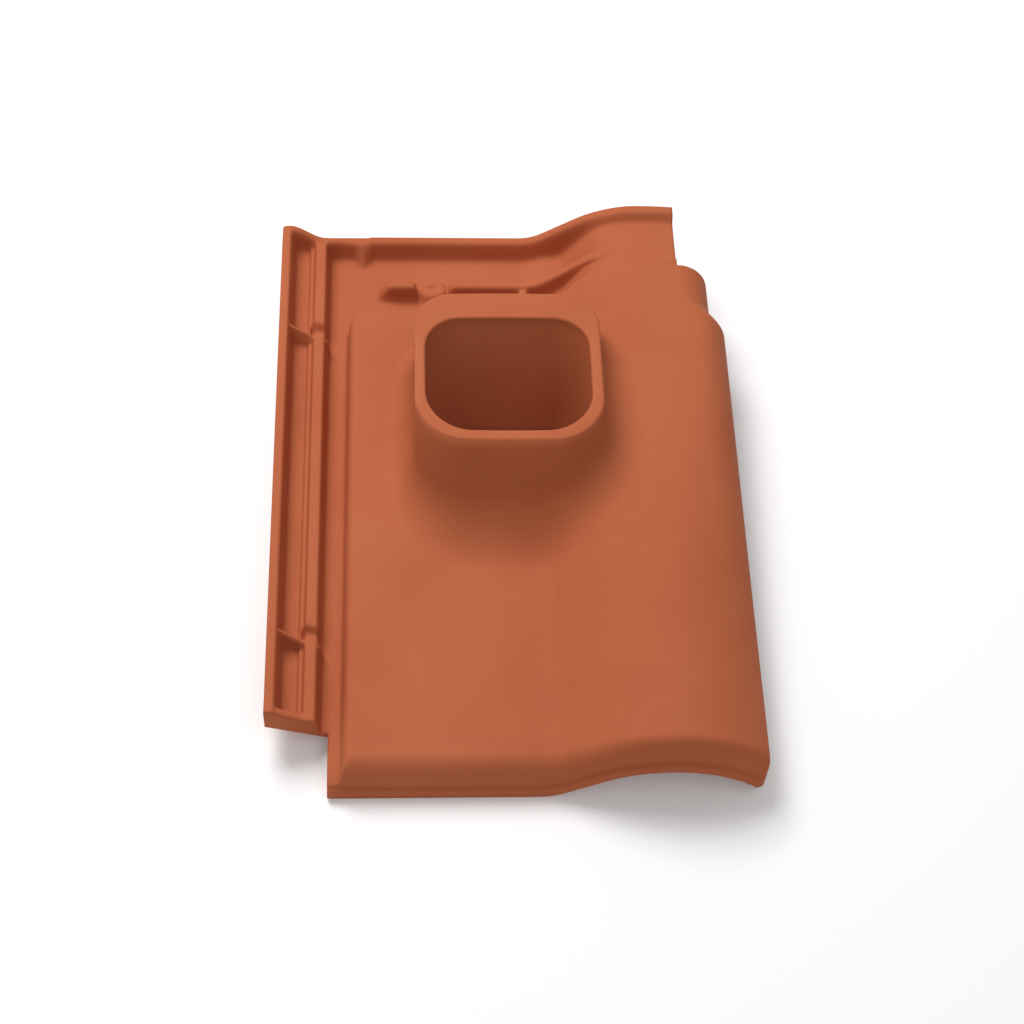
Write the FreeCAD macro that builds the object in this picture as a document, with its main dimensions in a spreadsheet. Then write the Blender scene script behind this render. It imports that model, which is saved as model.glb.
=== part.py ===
"""Clay interlocking roof tile with a flared rectangular socket (a vent or flue tile), one fired piece.

The tile is drawn in its own laying frame: X across the tile from the side lock to the roll, Y up the
slope from the tail to the head, Z out of the roof.  The finished piece is then set down the way it lies
unheld on a level floor, on the lower edge of its tail and the two hanging nibs under its head.
"""
import FreeCAD, Part
import math
import os
import re
import Sketcher

SIZES = {
    # overall plan
    "tile_length": 360.0,           # tail edge to the back of the head rim
    "tile_width": 258.0,            # outer edge of the side lock to the outer edge of the roll
    # cross wave of the upper face
    "pan_top": 24.5,                # pan's upper face above the lower edge of the tail
    "roll_rise": 28.5,              # crown of the roll above the pan
    "crown_from_edge": 50.0,        # crown line to the roll's outer edge
    "crown_radius": 61.0,
    "valley_radius": 25.0,
    "slope_angle": 34.7,            # steepest part of the roll's flank, degrees
    "crown_from_edge_head": 46.0,   # crown line to the outer edge at the head end of the roll
    "crown_radius_head": 68.0,
    "shoulder_radius": 18.0,        # rounding between the roll's crown and its side
    "shell": 11.0,                  # wall of the pan and the roll
    "pan_edge": 41.0,               # side lock's outer edge to the pan's left edge
    "pan_edge_run": 2.5,            # slope of the pan's left side
    # tail
    "tail_depth": 16.0,             # how far the tail's rounded lip runs up the slope
    "tail_round": 17.0,             # height of that rounding
    "tail_corner": 8.0,             # corner cut off the tail beside the roll
    # head lap: sunk floor, rim at its back, second rib in front of the rim
    "body_length": 304.5,           # tail edge to the back of the pan
    "body_length_roll": 316.0,      # the same on the roll
    "pan_corner": 11.0,             # rounding of the pan's corner beside the head lap
    "body_step": 13.0,              # how far the body's back edge runs over from pan to roll
    "body_step_from_edge": 102.0,
    "head_step": 12.0,              # pan's upper face down to the sunk floor
    "head_step_roll": 5.0,          # the same on the crown
    "head_crown_radius": 40.0,      # crown, valley and flank of the sunk floor
    "head_valley_radius": 12.0,
    "head_slope_angle": 48.0,
    "head_shell": 9.0,
    "head_side_cut": 27.0,          # roll's outer edge in to the end of the head strip
    "rim_width": 5.5,
    "rib_from_head": 39.0,          # head edge to the tail side of the second rib
    "rib_width": 5.5,
    "rib_drop": 0.5,                # second rib's top below the pan's upper face
    "rib_start": 57.0,              # side lock's outer edge to the second rib
    "rib_end_from_edge": 72.0,      # roll's outer edge to the second rib's end
    "gap_start": 79.0,              # gap in the second rib that holds the nail boss
    "gap_width": 20.0,
    "boss_radius": 9.5,
    "boss_height": 5.0,
    "dimple_radius": 1.8,
    "dimple_depth": 1.5,
    # side lock
    "lock_width": 32.0,             # outer edge of the lock to the edge of the tail
    "channel_floor": 11.5,
    "lock_foot": 6.0,               # underside of the lock beside the channel
    "lock_lift": 12.0,              # how much higher the underside lies at the outer edge
    "outer_rib_top": 34.5,
    "outer_rib_width": 4.8,
    "outer_rib_run": 3.4,           # slope of the outer rib's inner face
    "inner_rib_top": 25.0,
    "inner_rib_start": 20.2,        # outer edge of the lock to the inner rib's flat top
    "inner_rib_width": 4.9,
    "inner_rib_run": 3.1,
    "groove_floor": 19.0,
    "ledge_width": 3.5,
    "ledge_rise": 1.8,
    "lock_cut": 32.0,               # tail edge to the front end of the lock
    "lock_end_wall": 6.0,
    "baffle_width": 4.5,
    "baffle_skew": 8.0,
    "baffle_end": 28.5,             # outer edge of the lock to the baffles' tips in the channel
    "rear_baffle": 277.0,           # tail edge to the right end of the baffle nearer the head
    "front_baffle": 73.0,
    "head_end_wall": 5.0,
    # corner cut out of the roll beside the head
    "roll_cut_width": 8.0,
    "roll_cut_start": 279.0,
    # socket
    "socket_from_side": 128.5,      # centre of the socket across the tile
    "mouth_centre": 221.5,          # tail edge to the middle of the mouth
    "mouth_height": 78.0,           # mouth's rim above the tail's lower edge
    "mouth_width": 102.5,
    "mouth_length": 99.0,
    "corner_head": 21.0,            # outer corners of the mouth on the head side
    "corner_tail": 28.0,
    "side_wall": 6.2,
    "tail_wall": 6.0,
    "head_wall": 17.0,
    "bore_corner_head": 18.0,       # corners of the passage
    "bore_corner_tail": 24.0,
    "collar_foot": 13.5,            # lower edge of the collar round the passage under the roll
    "collar_wall": 6.0,
    "lean_slope": 0.47,             # how far the passage moves towards the tail for each step down
    "draft": 1.5,                   # how much wider the socket is above its flare than at its mouth
    "flare": 17.0,                  # height and reach of the flare at the socket's foot
    # hanging nibs under the head
    "nib_width": 30.0,
    "nib_depth": 12.0,
    "nib_drop": 9.0,
    "nib_from_head": 26.0,          # head edge to the nibs' head side
    "first_nib": 62.0,              # outer edge of the lock to each nib
    "second_nib": 122.0,
    # rib under the roll that hooks into the next tile's side lock
    "hook_from_edge": 18.0,
    "hook_width": 5.0,
    "hook_drop": 8.0,
}

doc = FreeCAD.newDocument("roof_tile")
sheet = doc.addObject("Spreadsheet::Sheet", "Sizes")
for row, (alias, value) in enumerate(SIZES.items(), 1):
    sheet.set(f"A{row}", alias)
    sheet.set(f"B{row}", str(value))
    sheet.setAlias(f"B{row}", alias)
doc.recompute()

body = doc.addObject("PartDesign::Body", "RoofTile")
body.Label = "roof_tile"
planes = {plane.Role: plane for plane in body.Origin.OriginFeatures}


def bound(formula):
    """A formula of aliases with each alias led by the sheet's name."""
    return re.sub(r"[a-z_]{4,}", lambda word: "Sizes." + word.group(0), formula)


def value_of(formula):
    """The number that a sum of products of aliases, such as 'a - b + 2 * c', gives now."""
    total = 0.0
    for sign, term in re.findall(r"([+-]?)\s*([^+-]+)", formula):
        product = -1.0 if sign == "-" else 1.0
        for factor in term.split("*"):
            factor = factor.strip()
            product *= float(sheet.get(factor)) if factor[0].isalpha() else float(factor)
        total += product
    return total


def less(formula):
    """A sum of products with every sign turned, ready to follow another sum."""
    return " - " + formula.translate(str.maketrans("+-", "-+"))


def times(factor, formula):
    """A sum of products with every term multiplied by a factor, led by a sign."""
    signed = formula if formula[0] == "-" else "+ " + formula
    return " " + re.sub(r"([+-])\s*", rf"\1 {factor} * ", signed)


def new_sketch(name, role, offset):
    """A sketch on one of the body's own planes, moved along the plane's normal."""
    sketch = body.newObject("Sketcher::SketchObject", name)
    sketch.AttachmentSupport = [(planes[role], "")]
    sketch.MapMode = "FlatFace"
    sketch.setExpression(".AttachmentOffset.Base.z", bound(offset))
    return sketch


def hold(sketch, kind, where, formula):
    """A dimension of the sketch, bound to the sheet."""
    index = sketch.addConstraint(Sketcher.Constraint(kind, *where, value_of(formula)))
    sketch.setExpression(f"Constraints[{index}]", bound(formula))


def pin(sketch, edge, end, across, up):
    """Fixes one end of an edge at two formulas from the sketch's origin."""
    hold(sketch, "DistanceX", (-1, 1, edge, end), across)
    hold(sketch, "DistanceY", (-1, 1, edge, end), up)


def polygon(sketch, corners):
    """A closed polygon whose corners are pairs of formulas."""
    spots = [FreeCAD.Vector(value_of(x), value_of(y), 0) for x, y in corners]
    count = len(spots)
    for number in range(count):
        sketch.addGeometry(Part.LineSegment(spots[number], spots[(number + 1) % count]), False)
    for number in range(count):
        sketch.addConstraint(Sketcher.Constraint("Coincident", number, 2, (number + 1) % count, 1))
    for number, (x, y) in enumerate(corners):
        pin(sketch, number, 1, x, y)


BODY_FORM = ("tile_width - crown_from_edge", "crown_radius", "valley_radius", "slope_angle")
BODY_FORM_HEAD = ("tile_width - crown_from_edge_head", "crown_radius_head", "valley_radius", "slope_angle")
HEAD_FORM = ("tile_width - crown_from_edge", "head_crown_radius", "head_valley_radius", "head_slope_angle")


def wave_spots(form, line, left, right):
    """Where the pan, valley, flank and crown meet for one wave line, as points and arc centres."""
    centre_x, crown_r, valley_r = (value_of(part) for part in form[:3])
    angle = math.radians(value_of(form[3]))
    pan_z, top_z = (value_of(part) for part in line)
    crown_mid = FreeCAD.Vector(centre_x, top_z - crown_r, 0)
    crown_in = crown_mid + FreeCAD.Vector(-math.sin(angle), math.cos(angle), 0) * crown_r
    fall = crown_in.y - pan_z - valley_r * (1 - math.cos(angle))
    valley_out = FreeCAD.Vector(crown_in.x - fall / math.tan(angle), crown_in.y - fall, 0)
    valley_mid = valley_out + FreeCAD.Vector(-math.sin(angle), math.cos(angle), 0) * valley_r
    reach = value_of(right) - centre_x
    end = FreeCAD.Vector(value_of(right), crown_mid.y + math.sqrt(crown_r ** 2 - reach ** 2), 0)
    return value_of(left), valley_mid, valley_out, crown_in, crown_mid, end


def wave_line(sketch, form, line, left, right, shoulder=False):
    """Adds pan line, valley arc, flank line and crown arc, and returns the first and last edge."""
    start, valley_mid, valley_out, crown_in, crown_mid, end = wave_spots(form, line, left, right)
    angle = math.radians(value_of(form[3]))
    axis = FreeCAD.Vector(0, 0, 1)
    round_r, crown_r = value_of("shoulder_radius"), value_of(form[1])
    if shoulder:
        across = value_of(right) - round_r - crown_mid.x
        up = math.sqrt((crown_r - round_r) ** 2 - across ** 2)
        round_mid = crown_mid + FreeCAD.Vector(across, up, 0)
        end = crown_mid + FreeCAD.Vector(across, up, 0) * (crown_r / (crown_r - round_r))
    tilt = math.atan2(end.y - crown_mid.y, end.x - crown_mid.x)
    pan_z = valley_mid.y - value_of(form[2])
    valley = Part.Circle(valley_mid, axis, value_of(form[2]))
    crest = Part.Circle(crown_mid, axis, crown_r)
    pan_end = FreeCAD.Vector(valley_mid.x, pan_z, 0)
    first = sketch.addGeometry(Part.LineSegment(FreeCAD.Vector(start, pan_z, 0), pan_end), False)
    sketch.addGeometry(Part.ArcOfCircle(valley, -math.pi / 2, angle - math.pi / 2), False)
    sketch.addGeometry(Part.LineSegment(valley_out, crown_in), False)
    last = sketch.addGeometry(Part.ArcOfCircle(crest, tilt, math.pi / 2 + angle), False)
    sketch.addConstraint(Sketcher.Constraint("Horizontal", first))
    sketch.addConstraint(Sketcher.Constraint("Tangent", first, 2, first + 1, 1))
    sketch.addConstraint(Sketcher.Constraint("Tangent", first + 1, 2, first + 2, 1))
    sketch.addConstraint(Sketcher.Constraint("Tangent", first + 2, 2, last, 2))
    hold(sketch, "Radius", (first + 1,), form[2])
    hold(sketch, "Radius", (last,), form[1])
    pin(sketch, first, 1, left, line[0])
    pin(sketch, last, 3, form[0], line[1] + " - " + form[1])
    index = sketch.addConstraint(Sketcher.Constraint("Angle", first + 2, angle))
    sketch.setExpression(f"Constraints[{index}]", f"Sizes.{form[3]} * 1 deg")
    if shoulder:
        crown, round_off = last, Part.Circle(round_mid, axis, round_r)
        last = sketch.addGeometry(Part.ArcOfCircle(round_off, 0.0, tilt), False)
        sketch.addConstraint(Sketcher.Constraint("Tangent", crown, 1, last, 2))
        hold(sketch, "Radius", (last,), "shoulder_radius")
        hold(sketch, "DistanceX", (-1, 1, last, 3), right + " - shoulder_radius")
        sketch.addConstraint(Sketcher.Constraint("Horizontal", last, 3, last, 1))
    else:
        hold(sketch, "DistanceX", (-1, 1, last, 1), right)
    return first, last


def wave_band(name, upper, lower, left, right, start, forms=(None, None), shoulder=False):
    """A closed section between two wave lines; each line is given by its pan level and crown level."""
    sketch = new_sketch(name, "XZ_Plane", "0" + less(start))
    top_form, low_form = (form or BODY_FORM for form in forms)
    top, top_end = wave_line(sketch, top_form, upper, left, right, shoulder)
    bottom, bottom_end = wave_line(sketch, low_form, lower, left, right)
    for one, two in (((top, 1), (bottom, 1)), ((top_end, 1), (bottom_end, 1))):
        spots = [sketch.getPoint(*one), sketch.getPoint(*two)]
        side = sketch.addGeometry(Part.LineSegment(*spots), False)
        sketch.addConstraint(Sketcher.Constraint("Coincident", side, 1, *one))
        sketch.addConstraint(Sketcher.Constraint("Coincident", side, 2, *two))
    return sketch


def extrude(kind, name, sketch, length, backward=False):
    """A pad or pocket of a sketch, by a bound length."""
    feature = body.newObject("PartDesign::" + kind, name)
    feature.Profile = sketch
    feature.setExpression("Length", bound(length))
    feature.Reversed = backward
    sketch.Visibility = False
    doc.recompute()
    return feature


def along(kind, name, sketch, length):
    """A pad or pocket that runs up the slope, from the tail towards the head."""
    return extrude(kind, name, sketch, length, kind == "Pad")


def rounded_box(sketch, west, east, south, north, corner_south, corner_north):
    """A rectangle with arcs at its corners; each side and radius is a formula."""
    x0, x1, y0, y1 = (value_of(side) for side in (west, east, south, north))
    low, high = value_of(corner_south), value_of(corner_north)
    arcs = [(x0 + low, y0 + low, low, 180), (x1 - low, y0 + low, low, 270),
            (x1 - high, y1 - high, high, 0), (x0 + high, y1 - high, high, 90)]
    ends = [(x0 + low, y0, x1 - low, y0), (x1, y0 + low, x1, y1 - high),
            (x1 - high, y1, x0 + high, y1), (x0, y1 - high, x0, y0 + low)]
    for number in range(4):
        x, y, radius, turn = arcs[number]
        circle = Part.Circle(FreeCAD.Vector(x, y, 0), FreeCAD.Vector(0, 0, 1), radius)
        begin = math.radians(turn)
        sketch.addGeometry(Part.ArcOfCircle(circle, begin, begin + math.pi / 2), False)
        a, b, c, d = ends[number]
        line = Part.LineSegment(FreeCAD.Vector(a, b, 0), FreeCAD.Vector(c, d, 0))
        sketch.addGeometry(line, False)
    for number in range(4):
        arc, line, following = 2 * number, 2 * number + 1, (2 * number + 2) % 8
        sketch.addConstraint(Sketcher.Constraint("Tangent", arc, 2, line, 1))
        sketch.addConstraint(Sketcher.Constraint("Tangent", line, 2, following, 1))
        sketch.addConstraint(Sketcher.Constraint("Vertical" if number % 2 else "Horizontal", line))
        hold(sketch, "Radius", (arc,), corner_south if number < 2 else corner_north)
    hold(sketch, "DistanceY", (-1, 1, 1, 1), south)
    hold(sketch, "DistanceX", (-1, 1, 3, 1), east)
    hold(sketch, "DistanceY", (-1, 1, 5, 1), north)
    hold(sketch, "DistanceX", (-1, 1, 7, 1), west)


def loft(kind, name, sections, ruled):
    """A loft through sketches."""
    feature = body.newObject("PartDesign::" + kind, name)
    feature.Profile = sections[0]
    feature.Sections = sections[1:]
    feature.Ruled = ruled
    for section in sections:
        section.Visibility = False
    doc.recompute()
    return feature


PAN = ("pan_top", "pan_top + roll_rise")
UNDER = ("pan_top - shell", "pan_top + roll_rise - shell")
TAIL_FOOT = ("0", "roll_rise")
HOLLOW = ("pan_top - 1.2 * shell", "pan_top + roll_rise - 1.2 * shell")
HEAD = ("pan_top - head_step", "pan_top + roll_rise - head_step_roll")
HEAD_UNDER = ("pan_top - head_step - head_shell", "pan_top + roll_rise - head_step_roll - head_shell")
UNDER_JOIN = ("pan_top - 1", "pan_top + roll_rise - 1")
FAR_BELOW = ("pan_top - shell - 60", "pan_top + roll_rise - shell - 60")


def main_body():
    """Pan and roll as one shell, with the deeper rounded lip along the tail."""
    ends = []
    stations = (("Fore", "tail_depth", BODY_FORM), ("Back", "body_length_roll", BODY_FORM_HEAD))
    for name, place, form in stations:
        section = name + "Section"
        forms = (form, form)
        ends.append(wave_band(section, PAN, UNDER, "pan_edge", "tile_width", place, forms, True))
    loft("AdditiveLoft", "Body", ends, True)
    lip = []
    for number, turn in enumerate((0, 18, 36, 54, 72, 90)):
        fall = round(1 - math.sin(math.radians(turn)), 4)
        back = round(1 - math.cos(math.radians(turn)), 4)
        upper = tuple(f"{level} - {fall} * tail_round" for level in PAN)
        place = f"{back} * tail_depth"
        section = f"Lip{number}"
        lip.append(wave_band(section, upper, TAIL_FOOT, "pan_edge", "tile_width", place, shoulder=True))
    loft("AdditiveLoft", "TailLip", lip, True)
    corner = new_sketch("TailCornerPlan", "XY_Plane", "0 - 20")
    polygon(corner, [("tile_width - tail_corner", "0 - 1"), ("tile_width + 1", "0 - 1"),
                     ("tile_width + 1", "tail_corner"), ("tile_width", "tail_corner"),
                     ("tile_width - tail_corner", "0")])
    extrude("Pocket", "TailCorner", corner, "200", True)


def trim_body_back():
    """Cuts the body's back edge to its plan: short behind the pan, longer behind the roll."""
    plan = new_sketch("BodyBackPlan", "XY_Plane", "0 - 40")
    polygon(plan, [
        ("pan_edge - 1", "body_length - pan_corner"),
        ("pan_edge", "body_length - pan_corner"),
        ("pan_edge + 0.3 * pan_corner", "body_length - 0.3 * pan_corner"),
        ("pan_edge + pan_corner", "body_length"),
        ("tile_width - body_step_from_edge", "body_length"),
        ("tile_width - body_step_from_edge + body_step", "body_length_roll"),
        ("tile_width - body_step_from_edge + body_step", "body_length_roll + 5"),
        ("pan_edge - 1", "body_length_roll + 5"),
    ])
    extrude("Pocket", "BodyBack", plan, "200", True)


def head_lap():
    """Sunk floor of the head lap, its rim, the second rib and the riser under the pan's back edge."""
    right = "tile_width - head_side_cut"
    sunk = (HEAD_FORM, HEAD_FORM)
    floor = wave_band("HeadSection", HEAD, HEAD_UNDER, "lock_width", right, "body_length - 12", sunk)
    along("Pad", "Head", floor, "tile_length - body_length + 12")
    join = (BODY_FORM, HEAD_FORM)
    riser = wave_band("RiserSection", UNDER_JOIN, HEAD_UNDER, "pan_edge", right, "body_length - 12", join)
    along("Pad", "Riser", riser, "12 - 0.5 * pan_corner")
    rim = wave_band("RimSection", PAN, HEAD, "lock_width", right, "tile_length - rim_width", join)
    along("Pad", "Rim", rim, "rim_width")


def second_rib():
    """Rib in front of the rim: it starts and stops short on the floor and dies out on the roll."""
    rib_top = ("pan_top - rib_drop", "pan_top + roll_rise - 0.5 * head_step_roll - rib_drop")
    join = (BODY_FORM, HEAD_FORM)
    start = "tile_length - rib_from_head"
    rib = wave_band("RibSection", rib_top, HEAD_UNDER, "rib_start", "tile_width - rib_end_from_edge", start, join)
    along("Pad", "Rib", rib, "rib_width")
    gap = new_sketch("RibGapPlan", "XY_Plane", "pan_top - head_step")
    polygon(gap, [
        ("gap_start", "tile_length - rib_from_head - 1"),
        ("gap_start + gap_width", "tile_length - rib_from_head - 1"),
        ("gap_start + gap_width", "tile_length - rib_from_head + rib_width + 1"),
        ("gap_start", "tile_length - rib_from_head + rib_width + 1"),
    ])
    extrude("Pocket", "RibGap", gap, "head_step + 5", True)
    disc("NailBoss", "Pad", "boss_radius", "pan_top - head_step - 1", "boss_height + 1")
    disc("NailDimple", "Pocket", "dimple_radius", "pan_top - head_step + boss_height - dimple_depth", "10")


def disc(name, kind, radius, level, height):
    """A round pad or pocket in the middle of the rib's gap."""
    sketch = new_sketch(name + "Plan", "XY_Plane", level)
    middle = ("gap_start + 0.5 * gap_width", "tile_length - rib_from_head + 0.5 * rib_width")
    spot = FreeCAD.Vector(value_of(middle[0]), value_of(middle[1]), 0)
    sketch.addGeometry(Part.Circle(spot, FreeCAD.Vector(0, 0, 1), value_of(radius)), False)
    hold(sketch, "Radius", (0,), radius)
    pin(sketch, 0, 3, *middle)
    extrude(kind, name, sketch, height, kind == "Pocket")


def side_lock():
    """Ribs, groove, ledge and channel along the left side, on a foot that rises outwards."""
    outer = "outer_rib_width + outer_rib_run"
    inner_end = "inner_rib_start + inner_rib_width"
    section = new_sketch("LockSection", "XZ_Plane", "0 - lock_cut")
    polygon(section, [
        ("0", "lock_foot + lock_lift"),
        ("lock_width", "lock_foot"),
        ("pan_edge + 2", "lock_foot"),
        ("pan_edge + 2", "channel_floor"),
        (inner_end + " + inner_rib_run", "channel_floor"),
        (inner_end, "inner_rib_top"),
        ("inner_rib_start", "inner_rib_top"),
        ("inner_rib_start", "groove_floor + ledge_rise"),
        ("inner_rib_start - ledge_width", "groove_floor + ledge_rise"),
        ("inner_rib_start - ledge_width", "groove_floor"),
        (outer, "groove_floor"),
        ("outer_rib_width", "outer_rib_top"),
        ("0", "outer_rib_top"),
    ])
    along("Pad", "SideLock", section, "tile_length - lock_cut")
    strip = new_sketch("StripSection", "XZ_Plane", "0")
    polygon(strip, [
        ("lock_width", "0"), ("pan_edge + 2", "0"), ("pan_edge + 2", "pan_top - 2"),
        ("pan_edge", "pan_top - 2"), ("pan_edge - pan_edge_run", "channel_floor"),
        ("lock_width", "channel_floor"),
    ])
    along("Pad", "EdgeStrip", strip, "body_length - pan_corner")


def box_pad(name, west, east, south, north, level, height):
    """A block standing up from a level."""
    plan = new_sketch(name + "Plan", "XY_Plane", level)
    polygon(plan, [(west, south), (east, south), (east, north), (west, north)])
    extrude("Pad", name, plan, height)


def cross_walls():
    """Baffles across the groove and into the channel, and the walls that close the groove at both ends."""
    for name, place in (("RearBaffle", "rear_baffle"), ("FrontBaffle", "front_baffle")):
        plan = new_sketch(name + "Plan", "XY_Plane", "groove_floor - 1")
        polygon(plan, [
            ("outer_rib_width", place + " + baffle_skew"), ("inner_rib_start + 3", place),
            ("inner_rib_start + 3", place + " + baffle_width"),
            ("outer_rib_width", place + " + baffle_skew + baffle_width"),
        ])
        extrude("Pad", name, plan, "inner_rib_top - groove_floor")
        box_pad(name + "Tip", "inner_rib_start + 1", "baffle_end", place, place + " + baffle_width",
                "channel_floor - 1", "inner_rib_top - channel_floor")
    ends = (("LockEnd", "lock_cut", "lock_end_wall"),
            ("GrooveEnd", "tile_length - head_end_wall", "head_end_wall"))
    for name, start, width in ends:
        box_pad(name, "1", "inner_rib_start + 1", start, start + " + " + width,
                "groove_floor - 1", "inner_rib_top - groove_floor + 1")


def roll_corner():
    """Corner cut out of the roll's outer edge beside the head."""
    plan = new_sketch("RollCornerPlan", "XY_Plane", "0 - 20")
    polygon(plan, [
        ("tile_width", "roll_cut_start"),
        ("tile_width + 5", "roll_cut_start"),
        ("tile_width + 5", "body_length_roll + 5"),
        ("tile_width - roll_cut_width", "body_length_roll + 5"),
        ("tile_width - roll_cut_width", "roll_cut_start + roll_cut_width"),
    ])
    extrude("Pocket", "RollCorner", plan, "200", True)


def socket_section(name, level, grow):
    """The socket's outline at a level: grown outwards, and longer towards the tail the lower it lies."""
    sketch = new_sketch(name, "XY_Plane", level)
    lean = times("lean_slope", "-mouth_height + " + level)
    half = "0.5 * mouth_width + " + grow
    back = "0.5 * mouth_length + " + grow
    sides = ["socket_from_side - 0.5 * mouth_width" + less(grow), "socket_from_side + " + half,
             "mouth_centre - 0.5 * mouth_length" + less(grow) + lean, "mouth_centre + " + back]
    rounded_box(sketch, *sides, "corner_tail + " + grow, "corner_head + " + grow)
    return sketch


def socket():
    """Upright socket with a flared foot, hollowed later by its passage."""
    flare = []
    for number, turn in enumerate((0, 22.5, 45, 67.5, 90)):
        out = round(1 - math.sin(math.radians(turn)), 4)
        up = round(1 - math.cos(math.radians(turn)), 4)
        level, grow = f"pan_top - 1 + {up} * flare", f"draft + {out} * flare"
        flare.append(socket_section(f"Flare{number}", level, grow))
    loft("AdditiveLoft", "Flare", flare, False)
    foot = socket_section("SocketFoot", "pan_top - 1 + flare", "draft")
    mouth = socket_section("Mouth", "mouth_height", "0")
    loft("AdditiveLoft", "Socket", [foot, mouth], True)


def passage_section(name, level, grow):
    """The leaning passage's outline at a level, grown outwards."""
    sketch = new_sketch(name, "XY_Plane", level)
    lean = times("lean_slope", "-mouth_height + " + level)
    half = "0.5 * mouth_width - side_wall + " + grow
    rounded_box(sketch, "socket_from_side" + less(half), "socket_from_side + " + half,
                "mouth_centre - 0.5 * mouth_length + tail_wall" + less(grow) + lean,
                "mouth_centre + 0.5 * mouth_length - head_wall + " + grow + lean,
                "bore_corner_tail + " + grow, "bore_corner_head + " + grow)
    return sketch


def hollows():
    """Clears the space under the shell, puts a collar round the passage's foot, and opens the passage."""
    under = wave_band("HollowSection", HOLLOW, FAR_BELOW, "pan_edge + 4", "tile_width - 1", "tail_depth")
    along("Pocket", "Hollow", under, "body_length - 12 - tail_depth")
    collar = [passage_section("CollarFoot", "collar_foot", "collar_wall"),
              passage_section("CollarTop", "pan_top + 5", "collar_wall")]
    loft("AdditiveLoft", "Collar", collar, True)
    bore = [passage_section("BoreFoot", "0 - 30", "0"), passage_section("BoreTop", "mouth_height + 10", "0")]
    loft("SubtractiveLoft", "Bore", bore, True)


def underside():
    """Hanging nibs under the head, and the hook rib under the roll's outer edge."""
    south = "tile_length - nib_from_head - nib_depth"
    foot = "pan_top - head_step - head_shell - nib_drop"
    for name, west in (("FirstNib", "first_nib"), ("SecondNib", "second_nib")):
        box_pad(name, west, west + " + nib_width", south, south + " + nib_depth", foot, "nib_drop + 1")
    hook_west = "tile_width - hook_from_edge"
    box_pad("HookRib", hook_west, hook_west + " + hook_width", "tail_depth + 20", "body_length - 40",
            "pan_top + roll_rise - 1.73 * shell - hook_drop", "hook_drop + 2")


main_body()
trim_body_back()
head_lap()
second_rib()
side_lock()
cross_walls()
roll_corner()
socket()
hollows()
underside()
doc.recompute()

for item in doc.Objects:
    if "Invalid" in item.State or "Error" in item.State:
        raise RuntimeError(f"{item.Name} did not build")
if body.Shape.isNull() or not body.Shape.isValid() or len(body.Shape.Solids) != 1:
    raise RuntimeError("the tile is not one sound solid")


def set_down():
    """Lays the tile on the tail's lower edge and its nibs, with the origin under its middle."""
    foot_drop = value_of("head_step + head_shell + nib_drop - pan_top")
    reach = value_of("tile_length - nib_from_head - nib_depth")
    turn = FreeCAD.Rotation(FreeCAD.Vector(1, 0, 0), math.degrees(math.atan2(foot_drop, reach)))
    turned = body.Shape.copy()
    turned.Placement = FreeCAD.Placement(FreeCAD.Vector(), turn)
    box = turned.optimalBoundingBox()
    centre = FreeCAD.Vector(-(box.XMin + box.XMax) / 2, -(box.YMin + box.YMax) / 2, -box.ZMin)
    body.Placement = FreeCAD.Placement(centre, turn)


set_down()
doc.recompute()
os.makedirs("parts", exist_ok=True)
body.Shape.exportStep(os.path.join("parts", body.Label + ".step"))
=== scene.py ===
"""Looks of a clay roof tile with an upright socket: one smooth fired skin, its clay and a plain studio."""
import math

import bmesh
import bpy
import numpy as np
from mathutils import Matrix, Vector


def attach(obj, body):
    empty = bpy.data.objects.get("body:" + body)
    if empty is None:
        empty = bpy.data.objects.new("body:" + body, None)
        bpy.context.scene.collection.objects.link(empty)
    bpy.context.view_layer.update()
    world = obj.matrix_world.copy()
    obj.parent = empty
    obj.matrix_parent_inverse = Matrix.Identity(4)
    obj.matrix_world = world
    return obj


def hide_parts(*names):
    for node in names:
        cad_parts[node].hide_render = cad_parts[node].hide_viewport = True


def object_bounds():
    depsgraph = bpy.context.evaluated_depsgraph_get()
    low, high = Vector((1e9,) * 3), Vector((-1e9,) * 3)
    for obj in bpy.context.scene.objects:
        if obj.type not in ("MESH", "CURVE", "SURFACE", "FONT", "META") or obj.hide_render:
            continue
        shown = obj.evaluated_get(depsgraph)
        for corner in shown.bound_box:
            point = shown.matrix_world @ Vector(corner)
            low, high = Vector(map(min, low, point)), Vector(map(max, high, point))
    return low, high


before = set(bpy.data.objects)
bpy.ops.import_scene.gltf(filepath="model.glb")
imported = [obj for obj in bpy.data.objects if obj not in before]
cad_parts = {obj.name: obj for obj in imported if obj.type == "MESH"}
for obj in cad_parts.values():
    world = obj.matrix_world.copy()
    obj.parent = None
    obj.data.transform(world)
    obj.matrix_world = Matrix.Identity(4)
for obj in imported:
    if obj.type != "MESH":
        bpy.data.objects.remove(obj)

bl_info = {
    "name": "Socket Roof Tile",
    "version": (1, 0, 0),
    "blender": (4, 5, 0),
    "location": "3D View > Sidebar > Roof Tile",
    "description": "Builds a pressed clay roof tile with a flared socket, and a studio round it",
    "category": "Object",
}

MM = 0.001
CAD_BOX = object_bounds()

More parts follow.
